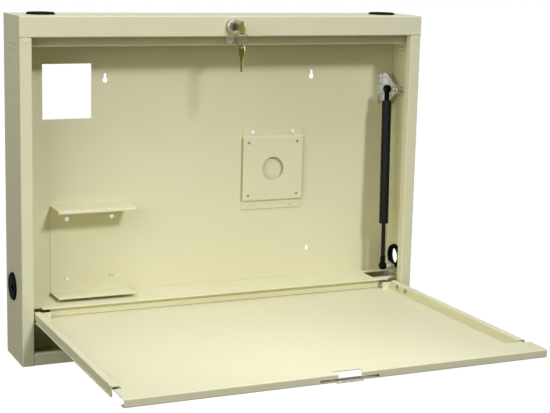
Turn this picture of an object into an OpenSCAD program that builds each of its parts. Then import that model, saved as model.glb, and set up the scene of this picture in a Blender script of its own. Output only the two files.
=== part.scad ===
// Wall-mounted fold-down desk cabinet.
// A folded steel wall cabinet whose front folds down into a work tray.
// Millimetres. X to the right, Y into the wall, Z up.
// The origin is midway between the two keyhole entry holes, on the rear face of the back panel.

/* [Cabinet] */
// overall width of the cabinet
cab_w = 762; // [700:1:900]
// overall height of the cabinet
cab_h = 600; // [560:1:700]
// overall depth, front face to wall
cab_d = 108; // [104:1:130]
// sheet thickness of all folded steel
sheet = 1.2; // [1.0:0.1:1.5]
// inside radius of every bend
bend_r = 1; // [0.8:0.05:1.2]
// front width of each stile
stile_w = 21; // [20:0.5:26]
// depth of the stile's inner return
stile_return = 16; // [15:0.5:20]
// front height of the header
header_h = 35.6; // [34:0.2:45]
// front height of the bottom rail
sill_h = 21; // [18:0.5:24]
// space between the wall and the back panel's inner face
panel_gap = 11; // [9:0.5:14]
// open seam between stile and header
seam = 0.5; // [0.4:0.1:0.8]
// depth of the return flanges of header, bottom rail and stop rail
rail_flange = 12; // [10:0.5:14]

/* [Back panel openings] */
// keyhole spacing, wall stud centres
key_span = 406.4; // [400:0.1:410]
// height of the keyhole entry holes
key_z = 482; // [470:1:495]
// entry hole diameter of the keyhole
key_d = 9.6; // [9:0.1:11]
// slot width of the keyhole
key_slot = 5; // [4.5:0.1:6]
// rise from the entry hole to the screw seat
key_rise = 10; // [9:0.5:12]
// height of the lower plain wall holes
low_hole_z = 150; // [140:1:170]
// diameter of the lower plain wall holes
low_hole_d = 8; // [6:0.5:10]
// from the left keyhole's axis to the cable cut-out
cut_gap = 25.2; // [20:0.1:30]
// width of the cable cut-out
cut_w = 88.7; // [80:0.1:100]
// lower edge of the cable cut-out
cut_z = 414.8; // [400:0.1:430]
// height of the cable cut-out
cut_h = 97; // [80:0.5:110]

/* [Vents] */
// diameter of one vent hole
vent_d = 3; // [3:0.5:5]
// pitch of the vent holes
vent_pitch = 8.5; // [7:0.5:10]
// vent holes in a row, front to back
vent_cols = 6; // [4:1:7]
// rows in one group
vent_rows = 5; // [3:1:6]
// height of the middle of the upper group
vent_high = 534; // [525:1:540]
// height of the middle of the lower group
vent_low = 457; // [445:1:465]

/* [Tray] */
// height of the hinge axis
pivot_z = 74.5; // [70:0.5:80]
// depth of the hinge axis behind the front face
pivot_y = 6.5; // [6:0.5:8]
// hinge pin diameter
pin_d = 6; // [5:0.5:6]
// radial running fit of pins and sockets
fit = 0.05; // [0.02:0.01:0.1]
// gap between tray edge and stile
side_gap = 1.3; // [1:0.1:2]
// width of the out-turned foot of a side rail
foot_w = 1.3; // [1.2:0.1:2]
// width of a side rail
rail_w = 12.4; // [12:0.2:16]
// height of the floor above the hinge axis
floor_up = 3; // [2.6:0.1:4]
// depth of the recess below the rim
recess = 14.9; // [13:0.1:17]
// gap under the header when closed
top_gap = 1.7; // [1.5:0.1:3]
// rear end of the side rails
rail_rear = 13; // [12:0.5:14]
// length of the flat front strip
strip_l = 54.7; // [45:0.1:65]
// height of the front lip
lip_h = 13.4; // [12:0.1:15]
// depth of the return under the front lip
lip_return = 15; // [12:0.5:18]
// open relief at the front corners
relief = 13; // [8:0.5:16]
// width of the rear corner tabs
tab_w = 18; // [12:1:24]
// drop of the tail's rear flange
tail_drop = 8; // [5:0.5:8]

/* [Ledge and stops] */
// air between rim and ledge
ledge_gap = 2.9; // [2.5:0.1:4]
// seat gap of stops and bumpers
seat = 0.3; // [0.3:0.05:0.6]
// gap between closed tray and stop rail
stop_gap = 0.6; // [0.5:0.1:1]
// how far the stop rail shows below the header
stop_show = 17; // [14:0.5:18]
// bumper diameter
bumper_d = 14; // [10:1:18]
// where the ledge slot starts, from the front
slot_y0 = 34; // [33:0.5:35]
// where the ledge slot ends
slot_y1 = 76; // [75:0.5:80]
// left end of the ledge slot, from the right wall
slot_in = 64; // [60:1:68]
// how far the skirt stands back behind the ledge's front edge
skirt_in = 11; // [10.6:0.2:14]
// gap between skirt and tray floor
skirt_gap = 0.6; // [0.5:0.1:3]
// depth of the ledge's flange on the back panel
ledge_flange = 14; // [10:0.5:16]

/* [Lock] */
// height of the lock axis below the top
lock_drop = 18; // [17:0.2:19]
// outer diameter of the lock bezel
bezel_d = 28; // [26:0.5:30]
// how far the bezel stands proud
bezel_out = 10.5; // [9:0.5:12]
// diameter of the threaded barrel
barrel_d = 19; // [18:0.5:20]
// diameter of the turning plug
plug_d = 14; // [13:0.5:15]
// how far the cam reaches below the header
cam_reach = 13.9; // [13:0.1:14.4]
// cam width
cam_w = 16; // [14:0.5:17]
// cam thickness
cam_t = 2.5; // [2:0.1:2.6]
// half width of the lip notch
notch_half = 20; // [19:0.5:21]
// half width of the side slots
side_slot_half = 50.5; // [45:0.5:55]

/* [Keys] */
// bow diameter of a key
bow_d = 24; // [20:1:26]
// thickness of a key
key_t = 2.2; // [1.8:0.1:2.4]
// distance of the key bow centre in front of the cabinet
bow_out = 42; // [38:1:46]
// radius of the key ring
ring_r = 11; // [9:0.5:13]
// wire thickness of the key ring
wire_d = 1.6; // [1.4:0.1:2]

/* [Gas spring] */
// plane of the gas spring, from the right wall
spring_in = 38; // [36:0.5:40]
// upper ball, from the front
ball_up_y = 53; // [50:0.5:56]
// upper ball height
ball_up_z = 459.2; // [455:0.1:465]
// lower ball, from the front
ball_low_y = 43.4; // [42:0.1:45]
// lower ball height
ball_low_z = 115.7; // [114:0.1:118]
// ball diameter
ball_d = 8; // [8:0.5:10]
// socket diameter
socket_d = 15.5; // [15:0.5:17]
// socket length along the ball stud
socket_l = 10.4; // [10:0.2:13]
// tube diameter
tube_d = 18; // [16:0.5:20]
// distance from the lower ball to the end of its neck
neck_l = 19.3; // [18:0.1:21]
// distance from upper ball to tube end
tube_start = 21.8; // [20:0.2:25]
// tube length
tube_l = 237.7; // [220:0.1:245]
// rod diameter
rod_d = 8; // [6:0.5:9]
// thickness of the zinc brackets
zinc = 2.5; // [2:0.1:3]

/* [Grommets] */
// flange diameter
grom_d = 50; // [46:1:52]
// hole diameter in the sheet
grom_hole = 44; // [40:1:45]
// inner opening
grom_bore = 32; // [30:1:36]
// depth of the sleeve below its seat
grom_deep = 6; // [5.5:0.5:12]
// flange height
grom_h = 3.5; // [3:0.1:4.5]
// depth of the side grommets, from the front
grom_y = 61; // [58:1:64]
// height of the side grommets
grom_z = 129.5; // [126:0.5:134]
// top grommets, from each side wall
grom_in = 52; // [48:1:56]

/* [Computer cradle] */
// left edge of the cradle
cradle_x = 76; // [70:1:90]
// width of the cradle
cradle_w = 143; // [120:1:160]
// lower edge of the cradle
cradle_z = 102.5; // [101:0.5:110]
// height of the cradle
cradle_h = 158.5; // [140:0.5:180]
// depth of the cradle shelves
cradle_d = 59; // [45:1:62]
// height of the front lips
cradle_lip = 5; // [4:0.5:8]
// screws of the cradle, from its top and bottom
cradle_screw_z = 25; // [20:1:30]
// screws of the cradle, from its sides
cradle_screw_x = 30; // [25:1:40]
// screw shank of the cradle
small_d = 4; // [3:0.5:5]

/* [Screen plate] */
// centre of the screen plate, from the left
screen_x = 505.5; // [490:0.5:520]
// height of the centre of the screen plate
screen_z = 310; // [290:1:330]
// screw pattern of the screen plate
screen_span = 100; // [75:25:100]
// stand-off of the screen plate
screen_off = 7; // [7:0.5:10]
// thickness of the screen plate
screen_t = 2; // [1.6:0.1:2]
// plate edge beyond the screw square
screen_rim = 11; // [10:0.5:14]
// height of the two riveted feet
screen_foot = 16; // [14:0.5:20]
// central hole of the screen plate
screen_hole_d = 44; // [36:1:50]

/* [Hidden] */
$fn = 64;
cream = [0.87, 0.85, 0.68];
steel = [0.75, 0.77, 0.78];
black = [0.08, 0.08, 0.09];
brass = [0.78, 0.66, 0.32];
// overshoot of cutting shapes
cut = 1;
mid_x = cab_w / 2;
header_z = cab_h - header_h;
bend = bend_r + sheet;
panel_y = cab_d - panel_gap;
cut_x = mid_x - key_span / 2 - cut_gap - cut_w;
// tray levels and ends
floor_z = pivot_z + floor_up;
rim_z = floor_z + recess;
lip_y = pivot_y - (header_z - top_gap - pivot_z);
strip_y = lip_y + strip_l;
foot_x = stile_w + side_gap;
rail_x = foot_x + foot_w;
well_x = rail_x + rail_w;
tail_y = pivot_y + pivot_z - (sill_h + 2);
tail_side_y = rail_rear + 3;
rail_front = strip_y + 6.5;
// notch cut in the front strip and slot height in the lip
notch_deep = 14;
strike_t = 0.8;
lip_z = rim_z - lip_h;
slot_top = lip_z + 7;
// ledge and stop rail
ledge_z = rim_z + ledge_gap + sheet;
ledge_front = rail_rear + 2;
ledge_corner = 26;
head_room = 4;
stop_y = pivot_y + rim_z - pivot_z + stop_gap;
stop_z = header_z - stop_show;
bumper_x = [120, 381, 640];
bumper_y = 44;
// hinge
eye_r = 7;
plate_t = 2.5;
bush_d = 8;
bolt_y = [-14.7, -46];
bolt_z = floor_z + 8.8;
// lock, from front to rear
lock_z = cab_h - lock_drop;
cam_r = lock_z - header_z + cam_reach;
plug_rear = 12;
cam_y = plug_rear + 1.5;
// gas spring line
spring_x = cab_w - spring_in;
spring_a = atan2(ball_up_y - ball_low_y, ball_up_z - ball_low_z);
spring_l = norm([ball_up_y - ball_low_y, ball_up_z - ball_low_z]);
ear_up_x = cab_w - 20;
ear_low_x = cab_w - stile_w - side_gap - 1.2 - zinc;
split_x = spring_x + socket_l / 2 + 0.4;
fit_ball = 0.1;
// screw holes of the cradle
cradle_hole_z = [cradle_z + cradle_screw_z, cradle_z + cradle_h - cradle_screw_z];
cradle_hole_x = [cradle_x + cradle_screw_x, cradle_x + cradle_w - cradle_screw_x];
// screen plate
screen_h = screen_span / 2 + screen_rim;
screen_rivet_x = [screen_x - 0.4 * screen_span, screen_x + 0.4 * screen_span];
screen_rivet_z = [screen_z - screen_h - screen_foot / 2, screen_z + screen_h + screen_foot / 2];
// keys and ring
hole_d = 6;
ring_top = lock_z - bow_d / 2 + 2 + wire_d / 2 + seat;
ring_z = ring_top - ring_r;
spare_bow_z = ring_z - ring_r + wire_d / 2 + seat - bow_d / 2 + 2;
plate_x = cab_w - well_x + sheet;
// screw holes of the upper bracket, and gas spring lengths
up_low = ball_up_z - 32.2;
up_high = ball_up_z + 26.8;
up_hole = [for (x = [cab_w - 25, cab_w - 11], z = [up_low + 6, up_high - 6]) [x, z]];
tube_end = tube_start + tube_l;
piston_z = tube_end - tube_l / 2 - 6;
// rivets of the lower bracket
foot_bolt_x = ear_low_x - 15;
foot_bolt_y = [ball_low_y - 4.4, ball_low_y + 7.6];

// Place a module written in cabinet coordinates in the part's frame.
module place() {
  translate([-cab_w / 2, -(panel_y + sheet), -key_z]) children();
}

// A block between two corners.
module blk(x0, x1, y0, y1, z0, z1) {
  translate([x0, y0, z0]) cube([x1 - x0, y1 - y0, z1 - z0]);
}

// A round bar along X, Y or Z, from a to b.
module bar_x(d, y, z, a, b) {
  translate([a, y, z]) rotate([0, 90, 0]) cylinder(d = d, h = b - a);
}
module bar_y(d, x, z, a, b) {
  translate([x, b, z]) rotate([90, 0, 0]) cylinder(d = d, h = b - a);
}
module bar_z(d, x, y, a, b) {
  translate([x, y, a]) cylinder(d = d, h = b - a);
}

// A hexagonal bar along X or Y, across the flats.
module hex_x(af, y, z, a, b) {
  translate([a, y, z]) rotate([0, 90, 0]) cylinder(d = af / cos(30), h = b - a, $fn = 6);
}
module hex_y(af, x, z, a, b) {
  translate([x, b, z]) rotate([90, 0, 0]) cylinder(d = af / cos(30), h = b - a, $fn = 6);
}

// A plate of given outline in the depth and height plane, from x0 to x1.
module plate_yz(x0, x1) {
  translate([x0, 0, 0]) rotate([90, 0, 90]) linear_extrude(x1 - x0) children();
}

// A section in the width and height plane, from y0 to y1.
module run_y(y0, y1) {
  translate([0, y1, 0]) rotate([90, 0, 0]) linear_extrude(y1 - y0) children();
}

// Does the line through p turn left at point i? How far does that bend reach back?
function turns_left(p, i) =
  cross(p[i] - p[i - 1], p[i + 1] - p[i]) > 0;
function reach(p, i, r, t) =
  i == 0 || i == len(p) - 1 ? 0 : (turns_left(p, i) ? r + t : r);

// Section of folded sheet with square bends. The sheet lies to the left of the line through p.
module fold(p, r = bend_r, t = sheet) {
  for (i = [0 : len(p) - 2]) {
    run = p[i + 1] - p[i];
    near = reach(p, i, r, t);
    translate(p[i]) rotate(atan2(run[1], run[0])) translate([near, 0])
      square([norm(run) - near - reach(p, i + 1, r, t), t]);
  }
  for (i = [1 : len(p) - 2]) {
    d1 = (p[i] - p[i - 1]) / norm(p[i] - p[i - 1]);
    d2 = (p[i + 1] - p[i]) / norm(p[i + 1] - p[i]);
    q = turns_left(p, i) ? -d2 : d1;
    translate(p[i] + (d2 - d1) * reach(p, i, r, t)) rotate(atan2(q[1], q[0])) intersection() {
      difference() {
        circle(r = r + t);
        circle(r = r);
      }
      square(r + t);
    }
  }
}

// Mirror a right-hand piece to the left.
module other_side() {
  translate([cab_w, 0, 0]) mirror([1, 0, 0]) children();
}

// One group of vent holes through the left wall.
module vents(z_mid) {
  for (i = [0 : vent_cols - 1], j = [0 : vent_rows - 1])
    bar_x(vent_d, cab_d / 2 + (i - (vent_cols - 1) / 2) * vent_pitch,
      z_mid + (j - (vent_rows - 1) / 2) * vent_pitch, -cut, sheet + cut);
}

// Side wall, stile front and stile return, folded from one sheet.
module side_shape() {
  difference() {
    union() {
      linear_extrude(header_z - seam)
        fold([[0, cab_d], [0, 0], [stile_w, 0], [stile_w, stile_return]]);
      blk(0, sheet, sheet, cab_d, header_z - seam, cab_h - sheet);
    }
    blk(sheet, stile_w + cut, sheet, cab_d + cut, -cut, sheet);
    vents(vent_high);
    vents(vent_low);
    bar_x(grom_hole, grom_y, grom_z, -cut, sheet + cut);
    bar_x(bush_d, pivot_y, pivot_z, stile_w - sheet - cut, stile_w + cut);
    bar_y(3, stile_w / 2 - 1, header_z - 7, -cut, sheet + cut);
  }
}
module side_left() color(cream) place() side_shape();
module side_right() color(cream) place() other_side() side_shape();

// Top, header front, its return and the two riveting tabs.
module header() color(cream) place() difference() {
  union() {
    plate_yz(0, cab_w)
      fold([[cab_d, cab_h], [0, cab_h], [0, header_z], [rail_flange, header_z]]);
    for (x = [sheet + 2, cab_w - stile_w + 4])
      blk(x, x + stile_w - 6 - sheet, sheet, 2 * sheet, header_z - 14, header_z + sheet);
  }
  for (x = [-cut, cab_w - sheet])
    blk(x, x + sheet + cut, sheet, cab_d + cut, 0, cab_h - sheet);
  bar_y(barrel_d, mid_x, lock_z, -cut, sheet + cut);
  for (x = [stile_w / 2 - 1, cab_w - stile_w / 2 + 1])
    bar_y(3, x, header_z - 7, 0, 3 * sheet);
  for (x = [grom_in, cab_w - grom_in])
    bar_z(grom_hole, x, grom_y, cab_h - sheet - cut, cab_h + cut);
}

// Bottom, front rail and its return.
module bottom_panel() color(cream) place() {
  plate_yz(stile_w, cab_w - stile_w)
    fold([[rail_flange, sill_h], [0, sill_h], [0, 0], [cab_d, 0]]);
  for (x = [sheet, cab_w - stile_w])
    blk(x, x + stile_w - sheet, sheet, cab_d, 0, sheet);
}

// Keyhole outline cut through the back panel.
module keyhole(x) {
  bar_y(key_d, x, key_z, panel_y - cut, panel_y + sheet + cut);
  bar_y(key_slot, x, key_z + key_rise, panel_y - cut, panel_y + sheet + cut);
  blk(x - key_slot / 2, x + key_slot / 2, panel_y - cut, panel_y + sheet + cut,
    key_z, key_z + key_rise);
}

// Recessed back panel with flanges turned back to the wall.
module back_panel() color(cream) place() difference() {
  x1 = cab_w - sheet;
  z1 = cab_h - sheet;
  union() {
    plate_yz(sheet + bend, x1 - bend)
      fold([[cab_d, z1], [panel_y, z1], [panel_y, sheet], [cab_d, sheet]]);
    translate([0, 0, sheet + bend]) linear_extrude(z1 - sheet - 2 * bend)
      fold([[sheet, cab_d], [sheet, panel_y], [x1, panel_y], [x1, cab_d]]);
  }
  blk(cut_x, cut_x + cut_w, panel_y - cut, cab_d, cut_z, cut_z + cut_h);
  for (s = [-1, 1]) {
    keyhole(mid_x + s * key_span / 2);
    bar_y(low_hole_d, mid_x + s * key_span / 2, low_hole_z, panel_y - cut, cab_d);
  }
}

// Stop rail hanging under the top behind the header.
module stop_rail() color(cream) place() {
  plate_yz(sheet + seat, cab_w - sheet - seat)
    fold([[stop_y + rail_flange, cab_h - sheet], [stop_y, cab_h - sheet], [stop_y, stop_z],
      [stop_y + rail_flange, stop_z]]);
}

// Fixed ledge over the tail of the tray, with a closed hem and a skirt in front.
module hinge_ledge() color(cream) place() difference() {
  hem_z = ledge_z - 2 * sheet;
  skirt_y = ledge_front + skirt_in;
  plate_yz(sheet, cab_w - sheet) union() {
    fold([[panel_y, ledge_z - ledge_flange], [panel_y, ledge_z], [ledge_front + sheet, ledge_z]]);
    translate([ledge_front + sheet, ledge_z - sheet]) circle(r = sheet);
    fold([[ledge_front + sheet, hem_z], [skirt_y, hem_z], [skirt_y, floor_z + skirt_gap]]);
  }
  for (x = [-cut, cab_w - well_x - tab_w - 2])
    blk(x, x + well_x + tab_w + 2 + cut, 0, skirt_y + 2 * sheet, 0, hem_z);
  for (x = [-cut, cab_w - well_x - head_room])
    blk(x, x + well_x + head_room + cut, 0, ledge_corner, 0, ledge_z + cut);
  blk(cab_w - slot_in, cab_w - 6, slot_y0, slot_y1, ledge_z - 2 * sheet, ledge_z + cut);
}

// Rubber bumpers that stop the tail when the tray is level.
module ledge_bumpers() color(black) place()
  for (x = bumper_x)
    bar_z(bumper_d, x, bumper_y, floor_z + seat, ledge_z - sheet);

// Rivets between stiles and header tabs.
module stile_rivets() color(cream) place()
  for (x = [stile_w / 2 - 1, cab_w - stile_w / 2 + 1]) {
    bar_y(3, x, header_z - 7, 0, 2 * sheet + 0.8);
    bar_y(5, x, header_z - 7, -0.9, 0);
  }

// Flanged bush for the hinge pin, in the right stile return.
module bush_shape() difference() {
  x = cab_w - stile_w;
  union() {
    bar_x(bush_d, pivot_y, pivot_z, x, x + 4);
    difference() {
      bar_x(bush_d + 2.4, pivot_y, pivot_z, x + sheet, x + sheet + 1.2);
      blk(x, x + 5, 0, bend + 0.1, pivot_z - 10, pivot_z + 10);
    }
  }
  bar_x(pin_d + 2 * fit, pivot_y, pivot_z, x - cut, x + 5);
}
module hinge_bush_right() color(black) place() bush_shape();
module hinge_bush_left() color(black) place() other_side() bush_shape();

// Cable grommet along Z, its seat on the plane z = 0.
module grommet() difference() {
  union() {
    cylinder(d1 = grom_d, d2 = grom_d - 4, h = grom_h);
    translate([0, 0, -grom_deep]) cylinder(d = grom_hole, h = grom_deep + 0.5);
    translate([0, 0, -sheet - 3]) cylinder(d1 = grom_hole, d2 = grom_hole + 2, h = 3);
  }
  translate([0, 0, -10]) cylinder(d = grom_bore, h = 20);
  translate([0, 0, grom_h - 2]) cylinder(d = grom_bore + 3, h = 5);
}

// Turning cap with a cable mouth, seated in the grommet.
module cap() difference() {
  union() {
    translate([0, 0, grom_h - 2 + seat]) cylinder(d = grom_bore + 3 - 2 * seat, h = 1.9);
    translate([0, 0, grom_h - 6]) cylinder(d = grom_bore - 2 * seat, h = 4.5);
  }
  translate([0, 0, grom_h - 7]) cylinder(d = grom_bore - 4, h = 5);
  translate([0, grom_bore / 4, 0]) cylinder(d = 13, h = 20, center = true);
  translate([-6.5, grom_bore / 4, -10]) cube([13, 20, 20]);
}

module on_top(x) place() translate([x, grom_y, cab_h]) children();
module on_left() place() translate([0, grom_y, grom_z]) rotate([0, -90, 0]) children();
module on_right() place() translate([cab_w, grom_y, grom_z]) rotate([0, 90, 0]) children();
module grommet_top_left() color(black) on_top(grom_in) grommet();
module grommet_top_right() color(black) on_top(cab_w - grom_in) grommet();
module grommet_side_left() color(black) on_left() grommet();
module grommet_side_right() color(black) on_right() grommet();
module cap_top_left() color(black) on_top(grom_in) cap();
module cap_top_right() color(black) on_top(cab_w - grom_in) cap();
module cap_side_left() color(black) on_left() rotate([0, 0, 180]) cap();

// Cradle folded in one piece: back, two shelves, two lips.
module pc_cradle() color(cream) place() difference() {
  front = panel_y - cradle_d;
  top = cradle_z + cradle_h;
  plate_yz(cradle_x, cradle_x + cradle_w)
    fold([[front, cradle_z + cradle_lip], [front, cradle_z], [panel_y, cradle_z],
      [panel_y, top], [front, top], [front, top - cradle_lip]]);
  for (x = cradle_hole_x, z = cradle_hole_z)
    bar_y(small_d, x, z, panel_y - 2 * sheet, panel_y + cut);
  for (x = [9, 25, cradle_w - 25, cradle_w - 9])
    bar_z(small_d, cradle_x + x, panel_y - 10, cradle_z - cut, top + cut);
}
module cradle_screws() color(steel) place()
  for (x = cradle_hole_x, z = cradle_hole_z) {
    bar_y(2 * small_d, x, z, panel_y - sheet - 2.2, panel_y - sheet);
    bar_y(small_d, x, z, panel_y - sheet - 0.1, panel_y);
  }

// Hat-shaped plate that carries the screen, folded from thicker sheet.
module screen_plate() color(cream) place() difference() {
  face = panel_y - screen_off;
  low = screen_z - screen_h;
  high = screen_z + screen_h;
  plate_yz(screen_x - screen_h, screen_x + screen_h)
    fold([[panel_y, low - screen_foot], [panel_y, low + screen_t], [face + screen_t, low + screen_t],
      [face + screen_t, high - screen_t], [panel_y, high - screen_t], [panel_y, high + screen_foot]],
      t = screen_t);
  for (x = [-1, 1], z = [-1, 1])
    bar_y(4.5, screen_x + x * screen_span / 2, screen_z + z * screen_span / 2, face - cut, face + 3);
  for (x = screen_rivet_x, z = screen_rivet_z)
    bar_y(small_d, x, z, panel_y - 3, panel_y + cut);
  bar_y(screen_hole_d, screen_x, screen_z, face - cut, face + 3);
}
module screen_rivets() color(steel) place()
  for (x = screen_rivet_x, z = screen_rivet_z) {
    bar_y(small_d, x, z, panel_y - screen_t - 0.1, panel_y);
    bar_y(small_d + 3.5, x, z, panel_y - screen_t - 1.4, panel_y - screen_t);
  }

// Lock barrel with a bezel, fixed in the header.
module lock_barrel() color(steel) place() difference() {
  union() {
    bar_y(barrel_d, mid_x, lock_z, -0.5, plug_rear);
    translate([mid_x, 0, lock_z]) rotate([90, 0, 0]) union() {
      cylinder(d = bezel_d, h = bezel_out - 3);
      translate([0, 0, bezel_out - 3]) cylinder(d1 = bezel_d, d2 = bezel_d - 5, h = 3);
    }
  }
  bar_y(plug_d + 2 * fit, mid_x, lock_z, -bezel_out - cut, plug_rear + cut);
  bar_y(plug_d + 3.4, mid_x, lock_z, -bezel_out - cut, -bezel_out + 1.5);
}
module lock_nut() color(steel) place() difference() {
  hex_y(24, mid_x, lock_z, sheet, sheet + 5);
  bar_y(barrel_d, mid_x, lock_z, 0, sheet + 6);
}

// Turning plug with its keyway.
module lock_plug() color(steel) place() difference() {
  union() {
    bar_y(plug_d, mid_x, lock_z, -bezel_out + 0.8, plug_rear + 0.3);
    bar_y(9, mid_x, lock_z, plug_rear, cam_y + cam_t);
  }
  blk(mid_x - key_t / 2, mid_x + key_t / 2, -bezel_out, plug_rear - 4, lock_z - 4.2, lock_z + 4.2);
  bar_y(4, mid_x, lock_z, plug_rear - 2, cam_y + cam_t + cut);
}

// Cam tongue, hanging straight down.
module lock_cam() color(steel) place() difference() {
  union() {
    bar_y(22, mid_x, lock_z, cam_y, cam_y + cam_t);
    bar_y(cam_w, mid_x, lock_z - cam_r + cam_w / 2, cam_y, cam_y + cam_t);
    blk(mid_x - cam_w / 2, mid_x + cam_w / 2, cam_y, cam_y + cam_t,
      lock_z - cam_r + cam_w / 2, lock_z);
  }
  bar_y(9, mid_x, lock_z, cam_y - cut, cam_y + cam_t + cut);
}
module cam_screw() color(steel) place() {
  bar_y(14, mid_x, lock_z, cam_y + cam_t, cam_y + cam_t + 2.4);
  bar_y(4, mid_x, lock_z, plug_rear - 2, cam_y + cam_t + 0.1);
}

// Round bow of a key with its ring hole, in the depth and height plane.
module bow(y, z) difference() {
  bar_x(bow_d, y, z, mid_x - key_t / 2, mid_x + key_t / 2);
  bar_x(hole_d, y, z - bow_d / 2 + 2 + hole_d / 2, mid_x - key_t, mid_x + key_t);
}

// Key in the lock: bow, shoulder and blade.
module key_main() color(brass) place() difference() {
  union() {
    bow(-bow_out, lock_z);
    blk(mid_x - key_t / 2, mid_x + key_t / 2, -bow_out + bow_d / 2 - 1.5, -bezel_out - 3,
      lock_z - 5.5, lock_z + 5.5);
    blk(mid_x - key_t / 2, mid_x + key_t / 2, -bezel_out - 3.1, plug_rear - 4.2,
      lock_z - 4, lock_z + 4);
  }
  blk(mid_x - key_t, mid_x - key_t / 2 + 0.5, -bow_out + bow_d / 2, plug_rear, lock_z - 0.8, lock_z + 0.8);
}

// Split ring through both bows.
module key_ring() color(steel) place()
  translate([mid_x, -bow_out, ring_z]) rotate([90, 0, 0])
    rotate_extrude() translate([ring_r, 0]) circle(d = wire_d, $fn = 24);

// Spare key hanging from the ring.
module key_spare() color(brass) place() difference() {
  union() {
    translate([0, 0, 2 * spare_bow_z]) mirror([0, 0, 1]) bow(-bow_out, spare_bow_z);
    blk(mid_x - key_t / 2, mid_x + key_t / 2, -bow_out - 5.5, -bow_out + 5.5,
      spare_bow_z - bow_d / 2 - 5, spare_bow_z - bow_d / 2 + 1.5);
    blk(mid_x - key_t / 2, mid_x + key_t / 2, -bow_out - 4, -bow_out + 4,
      spare_bow_z - bow_d / 2 - 24, spare_bow_z - bow_d / 2 - 4.9);
  }
  blk(mid_x - key_t, mid_x - key_t / 2 + 0.5, -bow_out - 0.8, -bow_out + 0.8,
    spare_bow_z - bow_d / 2 - 25, spare_bow_z - bow_d / 2 - 2);
}

// One side rail of the pan, on the left: an inverted channel with a foot, and its rear tab.
module pan_side() difference() {
  union() {
    run_y(strip_y - sheet, rail_front)
      fold([[well_x + 2 * bend, floor_z], [well_x, floor_z], [well_x, rim_z]]);
    run_y(rail_front, rail_rear - bend)
      fold([[well_x + 2 * bend, floor_z], [well_x, floor_z], [well_x, rim_z],
        [rail_x, rim_z], [rail_x, floor_z], [foot_x, floor_z]]);
    run_y(rail_rear - bend, rail_rear)
      fold([[well_x - bend, rim_z], [rail_x, rim_z], [rail_x, floor_z]]);
    translate([0, 0, floor_z - sheet]) linear_extrude(rim_z - floor_z + sheet - bend)
      fold([[well_x, rail_rear - 2 * bend], [well_x, rail_rear - sheet], [well_x + tab_w, rail_rear - sheet]]);
    blk(well_x - sheet, well_x + 2 * bend, rail_rear - bend, tail_side_y, floor_z - sheet, floor_z);
  }
  blk(foot_x - cut, rail_x + 2 * sheet, -4, rail_rear + cut, 0, floor_z + 3);
  for (y = bolt_y)
    bar_x(5, y, bolt_z, well_x - 2 * sheet, well_x + cut);
}

// Tray folded from one sheet: floor, rails, front strip, lip, return and tail.
module tray_pan() color(cream) place() difference() {
  union() {
    blk(well_x + bend, cab_w - well_x - bend, strip_y + bend, tail_side_y + cut, floor_z - sheet, floor_z);
    plate_yz(well_x - sheet, cab_w - well_x + sheet)
      fold([[strip_y + 2 * bend, floor_z], [strip_y, floor_z], [strip_y, rim_z],
        [rail_front - relief - cut, rim_z]]);
    plate_yz(foot_x, cab_w - foot_x)
      fold([[rail_front - relief, rim_z], [lip_y, rim_z], [lip_y, lip_z], [lip_y + lip_return, lip_z]]);
    plate_yz(foot_x, cab_w - foot_x)
      fold([[tail_y, floor_z - tail_drop], [tail_y, floor_z], [tail_side_y, floor_z]]);
    pan_side();
    other_side() pan_side();
  }
  blk(mid_x - side_slot_half, mid_x + side_slot_half, lip_y - cut, lip_y + 2 * sheet,
    lip_z + sheet, slot_top);
  blk(mid_x - notch_half, mid_x + notch_half, lip_y - cut, lip_y + 2 * sheet,
    lip_z + sheet, rim_z + cut);
  blk(mid_x - notch_half - 3, mid_x + notch_half + 3, lip_y + sheet, lip_y + notch_deep,
    rim_z - 2 * sheet, rim_z + cut);
  for (x = [-14, 14])
    bar_z(3, mid_x + x, lip_y + 9, lip_z - cut, lip_z + sheet + cut);
  for (y = foot_bolt_y)
    bar_z(4, foot_bolt_x, y, floor_z - 2 * sheet, floor_z + cut);
}

// Strike plate in the notch, with a down-turned front edge.
module strike_plate() color(steel) place() difference() {
  top = lip_z + sheet + strike_t;
  plate_yz(mid_x - notch_half - 3, mid_x + notch_half + 3)
    fold([[lip_y + 13, top], [lip_y - strike_t, top], [lip_y - strike_t, lip_z - 1.2]],
      r = 0.2, t = strike_t);
  for (x = [-14, 14])
    bar_z(3, mid_x + x, lip_y + 9, lip_z, lip_z + 3);
}
module strike_rivets() color(steel) place()
  for (x = [-14, 14]) {
    bar_z(3, mid_x + x, lip_y + 9, lip_z - 0.1, lip_z + sheet + 0.8);
    bar_z(5.5, mid_x + x, lip_y + 9, lip_z - 1.2, lip_z);
  }

// Hinge plate inside the right rail, running down to the pin.
module hinge_plate_shape() difference() {
  low = bolt_z - 6.5;
  high = rim_z - sheet - 1;
  plate_yz(plate_x, plate_x + plate_t) union() {
    translate([bolt_y[1] - 10, low]) square([12 - bolt_y[1], high - low]);
    translate([pivot_y, pivot_z]) circle(r = eye_r);
    polygon([[-16, low + 0.5], [1.2, pivot_z - 4.5], [pivot_y, pivot_z],
      [pivot_y + 6, pivot_z], [pivot_y + 6, high], [-16, high]]);
  }
  bar_x(pin_d, pivot_y, pivot_z, plate_x - cut, plate_x + 4);
  for (y = bolt_y)
    bar_x(5, y, bolt_z, plate_x - cut, plate_x + 4);
}
module hinge_plate_right() color(steel) place() hinge_plate_shape();
module hinge_plate_left() color(steel) place() other_side() hinge_plate_shape();

module pin_shape() bar_x(pin_d, pivot_y, pivot_z, plate_x, cab_w - stile_w + 3.6);
module hinge_pins() color(steel) place() {
  pin_shape();
  other_side() pin_shape();
}

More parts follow.
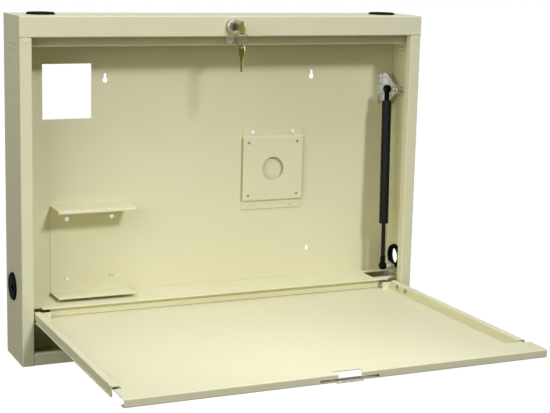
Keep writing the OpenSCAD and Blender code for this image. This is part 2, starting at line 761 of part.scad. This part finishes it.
// Bolts and nuts that hold the hinge plates to the rails.
module bolt_shape() for (y = bolt_y) {
  bar_x(5, y, bolt_z, plate_x - sheet, plate_x + plate_t + 5);
  translate([plate_x - sheet - 2.6, y, bolt_z]) rotate([0, 90, 0]) cylinder(d1 = 5.5, d2 = 9, h = 2.6);
}
module hinge_bolts() color(steel) place() {
  bolt_shape();
  other_side() bolt_shape();
}
module nut_shape() for (y = bolt_y) difference() {
  hex_x(8, y, bolt_z, plate_x + plate_t, plate_x + plate_t + 4);
  bar_x(5, y, bolt_z, plate_x, plate_x + plate_t + 5);
}
module hinge_nuts() color(steel) place() {
  nut_shape();
  other_side() nut_shape();
}

// Upper spring bracket: plate on the back panel and a forward ear.
module spring_bracket_upper() color(steel) place() difference() {
  union() {
    blk(cab_w - 34, cab_w - 5, panel_y - zinc, panel_y, up_low, up_high);
    plate_yz(ear_up_x, ear_up_x + zinc) union() {
      translate([ball_up_y, ball_up_z]) circle(r = 9);
      polygon([[panel_y, up_high], [panel_y, up_low], [panel_y - 8, up_low],
        [ball_up_y - 2, ball_up_z - 8.8], [ball_up_y - 9, ball_up_z],
        [ball_up_y - 6, ball_up_z + 6.7], [ball_up_y + 4, ball_up_z + 8.1], [panel_y - 8, up_high]]);
    }
  }
  bar_x(6, ball_up_y, ball_up_z, ear_up_x - cut, ear_up_x + 5);
  for (p = up_hole)
    bar_y(5, p[0], p[1], panel_y - 4, panel_y + cut);
}
module bracket_screws() color(steel) place()
  for (p = up_hole) {
    bar_y(5, p[0], p[1], panel_y - zinc - 0.1, panel_y);
    bar_y(9, p[0], p[1], panel_y - zinc - 3, panel_y - zinc);
  }

// Upper ball stud and nut.
module spring_stud_upper() color(steel) place() {
  translate([spring_x, ball_up_y, ball_up_z]) rotate([0, 90, 0]) sphere(d = ball_d);
  bar_x(5, ball_up_y, ball_up_z, spring_x, ear_up_x);
  hex_x(11, ball_up_y, ball_up_z, ear_up_x - 4, ear_up_x);
  bar_x(6, ball_up_y, ball_up_z, ear_up_x - 1, ear_up_x + zinc + 5.5);
}
module stud_nut_upper() color(steel) place() difference() {
  hex_x(10, ball_up_y, ball_up_z, ear_up_x + zinc, ear_up_x + zinc + 4.5);
  bar_x(6, ball_up_y, ball_up_z, ear_up_x, ear_up_x + 10);
}

// Frame of the gas spring: origin in the upper ball, spring along -Z.
module on_spring() place() translate([spring_x, ball_up_y, ball_up_z])
  rotate([-spring_a, 0, 0]) children();

// Socket round a ball at the origin, neck towards the given side.
module socket(dir, neck) difference() {
  union() {
    rotate([0, 90, 0]) {
      translate([0, 0, -socket_l / 2]) cylinder(d1 = socket_d - 4, d2 = socket_d, h = 2);
      translate([0, 0, 2 - socket_l / 2]) cylinder(d = socket_d, h = socket_l - 3);
      translate([0, 0, socket_l / 2 - 1]) cylinder(d1 = socket_d, d2 = socket_d - 2, h = 1);
    }
    translate([0, 0, dir > 0 ? 0 : -neck]) cylinder(d = socket_l - 0.9, h = neck);
  }
  translate([-socket_d / 2, 0, 0]) rotate([0, 90, 0]) cylinder(d = ball_d - 2.4, h = socket_d / 2);
  rotate([0, 90, 0]) sphere(d = ball_d + 2 * fit_ball);
  rotate([0, 90, 0]) cylinder(d = ball_d - 1.6, h = socket_d);
}
module spring_socket_upper() color(black) on_spring() socket(-1, tube_start);
module spring_socket_lower() color(black) on_spring() translate([0, 0, -spring_l]) socket(1, neck_l);

// Tube: closed at the top, guide bush at the bottom.
module spring_tube() color(black) on_spring() difference() {
  translate([0, 0, -tube_end]) cylinder(d = tube_d, h = tube_l);
  translate([0, 0, -tube_end + 14]) cylinder(d = tube_d - 3, h = tube_l - 26);
  translate([0, 0, -tube_end - cut]) cylinder(d = rod_d + 2 * fit, h = 20);
}

// Rod with its piston.
module spring_rod() color(steel) on_spring() {
  translate([0, 0, -spring_l + neck_l]) cylinder(d = rod_d, h = spring_l - neck_l - piston_z);
  translate([0, 0, -piston_z - 10]) cylinder(d = tube_d - 3 - 2 * fit_ball, h = 12);
}

// Lower ball with its neck, held in the socket.
module spring_ball_lower() color(steel) place() {
  translate([spring_x, ball_low_y, ball_low_z]) rotate([0, 90, 0]) sphere(d = ball_d);
  bar_x(5, ball_low_y, ball_low_z, spring_x, split_x);
}

// Lower stud shank riveted to the bracket, open to the ball by a small gap.
module spring_stud_lower() color(steel) place() {
  hex_x(11, ball_low_y, ball_low_z, split_x + seat, ear_low_x);
  bar_x(6, ball_low_y, ball_low_z, ear_low_x - 0.1, ear_low_x + zinc + 0.1);
  bar_x(9, ball_low_y, ball_low_z, ear_low_x + zinc, ear_low_x + zinc + 1);
}

// Lower spring bracket: foot on the tail and an ear through the ledge slot.
module spring_bracket_lower() color(steel) place() difference() {
  y = ball_low_y;
  z = ball_low_z;
  intersection() {
    run_y(y - 25, y + 20)
      fold([[ear_low_x - 26, floor_z], [ear_low_x + zinc, floor_z], [ear_low_x + zinc, z + 15]],
        r = 2, t = zinc);
    plate_yz(ear_low_x - 30, ear_low_x + 10)
      polygon([[y - 9.4, floor_z - cut], [y - 9.4, floor_z + 5], [y - 7.4, floor_z + 8],
        [y - 7.4, z - 16.7], [y - 19.4, z - 6.7], [y - 21.4, z + 4.1], [y + 10.6, z + 10.8],
        [y + 12.6, z - 7.7], [y + 12.6, floor_z - cut]]);
  }
  bar_x(6, ball_low_y, ball_low_z, ear_low_x - cut, ear_low_x + 5);
  for (y = foot_bolt_y)
    bar_z(4, foot_bolt_x, y, floor_z - cut, floor_z + 5);
}
module foot_bolts() color(steel) place()
  for (y = foot_bolt_y) {
    bar_z(4, foot_bolt_x, y, floor_z - sheet, floor_z + zinc + 0.1);
    bar_z(8, foot_bolt_x, y, floor_z + zinc, floor_z + zinc + 2.2);
    bar_z(7, foot_bolt_x, y, floor_z - sheet - 1.2, floor_z - sheet);
  }

side_left();
side_right();
header();
bottom_panel();
back_panel();
stop_rail();
hinge_ledge();
ledge_bumpers();
stile_rivets();
hinge_bush_left();
hinge_bush_right();
grommet_top_left();
grommet_top_right();
grommet_side_left();
grommet_side_right();
cap_top_left();
cap_top_right();
cap_side_left();
pc_cradle();
cradle_screws();
screen_plate();
screen_rivets();
lock_barrel();
lock_nut();
lock_plug();
lock_cam();
cam_screw();
key_main();
key_ring();
key_spare();
tray_pan();
strike_plate();
strike_rivets();
hinge_plate_left();
hinge_plate_right();
hinge_pins();
hinge_bolts();
hinge_nuts();
spring_bracket_upper();
bracket_screws();
spring_stud_upper();
stud_nut_upper();
spring_socket_upper();
spring_tube();
spring_rod();
spring_socket_lower();
spring_ball_lower();
spring_stud_lower();
spring_bracket_lower();
foot_bolts();
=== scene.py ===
import math

import bpy
from mathutils import Matrix, Vector


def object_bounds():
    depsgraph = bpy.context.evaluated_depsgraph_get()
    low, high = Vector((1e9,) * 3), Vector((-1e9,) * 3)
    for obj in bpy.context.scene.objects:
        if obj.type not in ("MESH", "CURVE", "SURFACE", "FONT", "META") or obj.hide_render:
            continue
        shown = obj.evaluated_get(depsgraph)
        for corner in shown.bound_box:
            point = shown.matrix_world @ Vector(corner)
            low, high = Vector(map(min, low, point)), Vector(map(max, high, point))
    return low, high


# Looks of a wall-mounted fold-down desk cabinet in cream powder-coated sheet steel.
# Metres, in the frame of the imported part: X to the right, Y into the wall, Z up.
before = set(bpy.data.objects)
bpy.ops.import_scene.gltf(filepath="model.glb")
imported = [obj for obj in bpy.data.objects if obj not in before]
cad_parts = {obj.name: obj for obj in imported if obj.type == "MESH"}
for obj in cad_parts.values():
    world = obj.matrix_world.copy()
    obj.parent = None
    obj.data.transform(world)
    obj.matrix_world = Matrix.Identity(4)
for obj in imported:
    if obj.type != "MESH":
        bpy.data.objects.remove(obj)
cad_low, cad_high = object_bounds()

# Camera at the photograph's station: left of the cabinet and a little above it,
# turned right by yaw, down by pitch, and rolled by roll about its line of sight.
yaw = math.radians(24.7166)
pitch = math.radians(10.7705)
roll = math.radians(1.4001)
camera_at = Vector((-0.95242, -2.36154, 0.24707))
sensor_mm = 36.0
lens_mm = 90.9
near_limit = 0.05
far_limit = 60.0

ahead = Vector((math.sin(yaw) * math.cos(pitch), math.cos(yaw) * math.cos(pitch), -math.sin(pitch)))
level = Vector((math.cos(yaw), -math.sin(yaw), 0.0))
upright = level.cross(ahead)
right = level * math.cos(roll) + upright * math.sin(roll)
up = upright * math.cos(roll) - level * math.sin(roll)

camera = bpy.data.objects.new("camera", bpy.data.cameras.new("camera"))
bpy.context.scene.collection.objects.link(camera)
camera.matrix_world = Matrix((
    (right.x, up.x, -ahead.x, camera_at.x),
    (right.y, up.y, -ahead.y, camera_at.y),
    (right.z, up.z, -ahead.z, camera_at.z),
    (0, 0, 0, 1)))
camera.data.sensor_width = sensor_mm
camera.data.lens = lens_mm
camera.data.clip_start = near_limit
camera.data.clip_end = far_limit
bpy.context.scene.camera = camera
bpy.context.scene.view_settings.view_transform = "Standard"


# Studio lamps: a compact, slightly cool key from the front right, a long soft box
# overhead, a soft spot that pools on the open tray, a soft box at the left for the
# side wall, and a low one behind for the back.
def lamp(name, kind, power, place, target, **settings):
    """Adds a light of that kind at place, aimed at target; a sun's power is per square metre."""
    light = bpy.data.lights.new(name, kind)
    light.energy = power
    for setting, value in settings.items():
        setattr(light, setting, value)
    holder = bpy.data.objects.new(name, light)
    holder.location = place
    holder.rotation_mode = "QUATERNION"
    holder.rotation_quaternion = (Vector(target) - Vector(place)).to_track_quat("-Z", "Y")
    bpy.context.scene.collection.objects.link(holder)


key_height = math.radians(34)
key_aside = math.radians(14)
key_away = 3.0
key_at = key_away * Vector((
    math.sin(key_aside) * math.cos(key_height),
    -math.cos(key_aside) * math.cos(key_height),
    math.sin(key_height)))

lamp("key", "SUN", power=1.55, place=key_at, target=(0, 0, 0),
     angle=math.radians(8), color=(0.872, 0.87, 1.0))
lamp("overhead", "AREA", power=25.0, place=(0, -0.7, 1.9), target=(0, -0.8, 0),
     shape="RECTANGLE", size=2.4, size_y=0.9, color=(0.79, 0.80, 1.0))
lamp("pool", "SPOT", power=128.0, place=(-0.06, -0.6, 2.4), target=(-0.04, -0.53, -0.41),
     spot_size=math.radians(19), spot_blend=1.0, shadow_soft_size=0.2, color=(0.895, 0.9, 1.0))
lamp("side", "AREA", power=32.0, place=(-2.0, -1.45, 0.9), target=(0, 0, -0.1),
     shape="SQUARE", size=1.8, color=(0.92, 0.945, 1.0))
lamp("behind", "AREA", power=31.0, place=(0.9, 2.6, -0.4), target=(0, 0.1, -0.2),
     shape="RECTANGLE", size=2.4, size_y=0.8)


# Shader maths written as Python: a Value wraps a node's output and its operators
# add Math nodes, so each finish reads as a formula.
class Value:
    """An output socket of a graph."""

    def __init__(self, graph, socket):
        self.graph = graph
        self.socket = socket

    def math(self, operation, *others):
        """A Math node on this value and the others."""
        terms = dict(enumerate((self, *others)))
        return self.graph.node("ShaderNodeMath", {"operation": operation}, terms)

    def __add__(self, other):
        return self.math("ADD", other)

    def __sub__(self, other):
        return self.math("SUBTRACT", other)

    def __mul__(self, other):
        return self.math("MULTIPLY", other)

    def __truediv__(self, other):
        return self.math("DIVIDE", other)

    def __rsub__(self, other):
        return self * -1.0 + other

    def __rtruediv__(self, other):
        return self.math("POWER", -1.0) * other

    __radd__ = __add__
    __rmul__ = __mul__

    def step(self, start, end):
        """0 below start, 1 above end, and straight between them."""
        share = (self - start) / (end - start)
        return share.math("MAXIMUM", 0.0).math("MINIMUM", 1.0)


class Graph:
    """A node tree whose nodes are all added by one method."""

    def __init__(self, tree):
        self.tree = tree

    def join(self, value, socket):
        """Links a Value to a socket, or sets the socket to a number or colour."""
        if isinstance(value, Value):
            self.tree.links.new(value.socket, socket)
        else:
            socket.default_value = value

    def node(self, kind, settings=None, sockets=None, out=0):
        """Adds a node, makes its settings, then fills its sockets; gives the Value of one output."""
        node = self.tree.nodes.new(kind)
        for setting, value in (settings or {}).items():
            setattr(node, setting, value)
        for socket, value in (sockets or {}).items():
            self.join(value, node.inputs[socket])
        if node.outputs:
            return Value(self, node.outputs[out])


# Room: a weak yellow fill in the shade, as light bounced off the cream steel. Camera,
# mirror and glass rays meet a white room instead, so metal shows pale surroundings.
def seen_rays(graph):
    """1 for camera, glossy and transmission rays, and 0 for those that only light."""
    seen = graph.node("ShaderNodeLightPath", out="Is Camera Ray")
    for ray in ("Is Glossy Ray", "Is Transmission Ray"):
        seen = seen.math("MAXIMUM", graph.node("ShaderNodeLightPath", out=ray))
    return seen


fill_colour = (1.0, 0.89, 0.30, 1)
fill_strength = 0.068

world = bpy.data.worlds.new("studio")
world.use_nodes = True
world.node_tree.nodes.clear()
bpy.context.scene.world = world
room = Graph(world.node_tree)
fill = room.node("ShaderNodeBackground", sockets={"Color": fill_colour, "Strength": fill_strength})
white = room.node("ShaderNodeBackground", sockets={"Color": (1, 1, 1, 1), "Strength": 1.0})
shown = room.node("ShaderNodeMixShader", sockets={0: seen_rays(room), 1: fill, 2: white})
room.node("ShaderNodeOutputWorld", sockets={"Surface": shown})


# Floor: a sheet of pale matt paper, laid well below the hung cabinet. It gives the
# camera almost white and the object almost no light from below.
class Look(Graph):
    """A Principled material whose patterns lie in the piece's own coordinates."""

    def __init__(self, name):
        self.material = bpy.data.materials.new(name)
        self.material.use_nodes = True
        super().__init__(self.material.node_tree)
        self.shader = self.tree.nodes["Principled BSDF"]
        self.place = self.node("ShaderNodeTexCoord", out="Object")

    def put(self, **sockets):
        """Fills sockets of the shader, named with _ for each space."""
        for name, value in sockets.items():
            self.join(value, self.shader.inputs[name.replace("_", " ")])


floor_drop = 0.95
floor_half = 14.0
floor_mid = 2.0
floor_colour = (0.12, 0.12, 0.12, 1)
floor_glow = 0.98

floor_z = cad_low.z - floor_drop
floor_mesh = bpy.data.meshes.new("floor")
floor_corners = [(x * floor_half, floor_mid + y * floor_half, floor_z)
                 for x, y in ((-1, -1), (1, -1), (1, 1), (-1, 1))]
floor_mesh.from_pydata(floor_corners, [], [(0, 1, 2, 3)])
floor = bpy.data.objects.new("floor", floor_mesh)
bpy.context.scene.collection.objects.link(floor)

paper = Look("floor_paper")
paper.put(Base_Color=floor_colour, Roughness=1.0, Specular_IOR_Level=0.0,
          Emission_Color=seen_rays(paper), Emission_Strength=floor_glow)
floor_mesh.materials.append(paper.material)


# Cabinet shell: side walls with their stiles, header with the top, bottom panel, back
# panel, stop rail and ledge, folded from sheet steel, welded and riveted together.
# All wear one dry cream powder coat, sprayed and baked: fine grains over slow waves.
def noise(look, scale, detail, rough=0.5, stretch=None):
    """Noise of scale waves to the metre, with the axes first scaled by stretch."""
    place = look.place
    if stretch:
        place = look.node("ShaderNodeMapping", sockets={"Vector": place, "Scale": stretch})
    return look.node("ShaderNodeTexNoise",
                     sockets={"Vector": place, "Scale": scale, "Detail": detail, "Roughness": rough})


def tint(look, low, high, share):
    """Base colour from low to high, by share."""
    mixed = look.node("ShaderNodeMix", {"data_type": "RGBA"},
                      {0: share, 6: (*low, 1), 7: (*high, 1)}, out=2)
    look.put(Base_Color=mixed)


def bump(look, height, depth, strength):
    """Relief of that depth in metres, by height, softened by strength."""
    look.put(Normal=look.node("ShaderNodeBump",
                              sockets={"Height": height, "Distance": depth, "Strength": strength}))


crease = math.radians(35)
bevel_steps = 2


def dress(look, *nodes, edge=0.0):
    """Gives nodes their finish, and breaks edges sharper than the crease by edge, in metres."""
    for name in nodes:
        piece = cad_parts[name]
        piece.data.materials.clear()
        piece.data.materials.append(look.material)
        if edge:
            bevel = piece.modifiers.new("edge", "BEVEL")
            bevel.width = edge
            bevel.segments = bevel_steps
            bevel.limit_method = "ANGLE"
            bevel.angle_limit = crease


cream = Look("powder_coat")
cloud = noise(cream, scale=3.0, detail=3.0)
grains = noise(cream, scale=1100.0, detail=3.0, rough=0.6)
waves = noise(cream, scale=260.0, detail=2.0)
tint(cream, (0.735, 0.710, 0.448), (0.772, 0.750, 0.487),
     (0.7 * cloud + 0.3 * grains).step(0.35, 0.65))
cream.put(Specular_IOR_Level=0.25, Roughness=0.50 + 0.12 * cloud + 0.08 * grains)
bump(cream, grains + 0.8 * waves, depth=0.00003, strength=0.4)
dress(cream, "side_left", "side_right", "header", "bottom_panel", "back_panel",
      "stop_rail", "hinge_ledge", "stile_rivets")

# Cradle and plate on the back panel: two folded holders in the same coat. The cradle
# is screwed on, and the plate is riveted on by its two feet.
dress(cream, "pc_cradle", "screen_plate")


# Screws of the cradle and rivets of the plate: zinc-plated steel, a cool metal with a
# mottled passivation and the faint lines of drawn stock.
def metal(name, dark, light, scale, contrast=(0.3, 0.7)):
    """A metal mottled from dark to light at that scale; gives its look and its mottling."""
    look = Look(name)
    mottle = noise(look, scale=scale, detail=3.0)
    tint(look, dark, light, mottle.step(*contrast))
    look.put(Metallic=1.0)
    return look, mottle


plated_edge = 0.00025
zinc, bloom = metal("zinc_plate", (0.52, 0.53, 0.49), (0.82, 0.83, 0.77), scale=120.0,
                    contrast=(0.35, 0.65))
lines = noise(zinc, scale=400.0, detail=2.0, stretch=(1, 1, 0.05))
zinc.put(Roughness=0.28 + 0.16 * bloom + 0.06 * lines)
bump(zinc, lines, depth=0.00001, strength=0.3)
dress(zinc, "cradle_screws", "screen_rivets", edge=plated_edge)

# Cable grommets in the top and the sides, snapped into their holes, and the caps that
# turn in three of them: black moulded plastic with a fine spark-eroded grain.
moulded_edge = 0.0004
plastic = Look("black_plastic")
grain = noise(plastic, scale=1400.0, detail=2.0)
plastic.put(Base_Color=(0.0055, 0.0055, 0.0055, 1), Specular_IOR_Level=0.03,
            Roughness=0.68 + 0.15 * grain)
bump(plastic, grain, depth=0.00003, strength=0.4)
dress(plastic, "grommet_top_left", "grommet_top_right", "grommet_side_left", "grommet_side_right",
      "cap_top_left", "cap_top_right", "cap_side_left", edge=moulded_edge)

# Tray: the fold-down front, one sheet folded into floor, rails, strip and lip, in the
# cabinet's own coat, since the parts are sprayed together.
dress(cream, "tray_pan")

# Strike plate in the notch of the tray's lip, held by two rivets: a pressed zinc
#  plate. Its colour is darker than the screws' zinc as painted shade, with a random mottle.
pressed_edge = 0.0003
strike, strike_mottle = metal("strike_zinc_painted_shade", (0.30, 0.29, 0.23), (0.46, 0.445, 0.36), scale=240.0)
strike.put(Roughness=0.36 + 0.2 * strike_mottle)
dress(strike, "strike_plate", "strike_rivets", edge=pressed_edge)

# Hinges of the tray: plates bolted inside its rails, with pins that turn in plastic
#  bushes in the stiles. The steel is a straw-brown zinc whose dark tone is painted shade, for the
#  shade inside the rails.
straw, stain = metal("yellow_zinc_painted_shade", (0.22, 0.20, 0.12), (0.42, 0.38, 0.22), scale=350.0)
straw.put(Roughness=0.42 + 0.18 * stain)
dress(straw, "hinge_plate_left", "hinge_plate_right", "hinge_pins", "hinge_bolts", "hinge_nuts",
      edge=plated_edge)
dress(plastic, "hinge_bush_left", "hinge_bush_right", edge=moulded_edge)

# Bumpers glued under the ledge, which the open tray meets: moulded black rubber with
# a dusty bloom.
rubber = Look("rubber")
dust = noise(rubber, scale=80.0, detail=3.0)
tint(rubber, (0.018, 0.018, 0.018), (0.04, 0.04, 0.038), dust)
rubber.put(Roughness=0.65 + 0.2 * dust)
dress(rubber, "ledge_bumpers")

# Gas spring that carries the tray: a black enamelled tube with its dark rod, plastic
# sockets snapped on ball studs, and zinc-plated brackets screwed and bolted on.
crimp_edge = 0.0015
rod_edge = 0.0005
enamel = Look("black_enamel")
flow = noise(enamel, scale=60.0, detail=2.0, stretch=(1, 1, 0.3))
enamel.put(Base_Color=(0.004, 0.004, 0.0045, 1), Specular_IOR_Level=0.2,
           Roughness=0.26 + 0.08 * flow)
dress(enamel, "spring_tube", edge=crimp_edge)
dress(enamel, "spring_rod", edge=rod_edge)
dress(plastic, "spring_socket_upper", "spring_socket_lower", edge=moulded_edge)
dress(zinc, "spring_bracket_upper", "bracket_screws", "spring_stud_upper", "stud_nut_upper",
      "spring_ball_lower", "spring_stud_lower", "spring_bracket_lower", "foot_bolts", edge=plated_edge)

# Lock barrel: a die-cast body with a thin nickel plate over its fine casting grain,
# held behind the header by its nut.
barrel_edge = 0.0004
nickel, wear = metal("nickel_plate", (0.26, 0.25, 0.18), (0.45, 0.435, 0.33), scale=200.0)
nickel.put(Roughness=0.22 + 0.2 * wear)
bump(nickel, wear, depth=0.00002, strength=0.4)
dress(nickel, "lock_barrel", edge=barrel_edge)

# Turning plug of the lock and the split ring of the keys: darker die-cast zinc and
#  spring steel. Their dark colour is painted shade, with a random mottle.
shaded_steel, plug_ring_mottle = metal("plug_ring_painted_shade", (0.07, 0.068, 0.05), (0.20, 0.195, 0.16), scale=260.0)
shaded_steel.put(Roughness=0.30 + 0.25 * plug_ring_mottle)
dress(shaded_steel, "lock_plug", "key_ring")

# Cam behind the plug with its screw, and the barrel's nut: stamped steel whose
#  dark colour is painted shade, for the shade under the header, with a random mottle.
cast, cam_mottle = metal("cam_steel_painted_shade", (0.20, 0.19, 0.14), (0.34, 0.325, 0.25), scale=240.0)
cast.put(Roughness=0.36 + 0.2 * cam_mottle)
dress(cast, "lock_cam", "cam_screw", "lock_nut", edge=pressed_edge)

# The two keys, one in the plug and one hung from the ring: brass, stamped from strip
#  and worn bright in places. The whole brass colour is darkened as painted shade.
brass, scuff = metal("key_brass_painted_shade", (0.25, 0.22, 0.085), (0.46, 0.41, 0.17), scale=300.0)
brass.put(Roughness=0.22 + 0.2 * scuff)
dress(brass, "key_main", "key_spare", edge=pressed_edge)
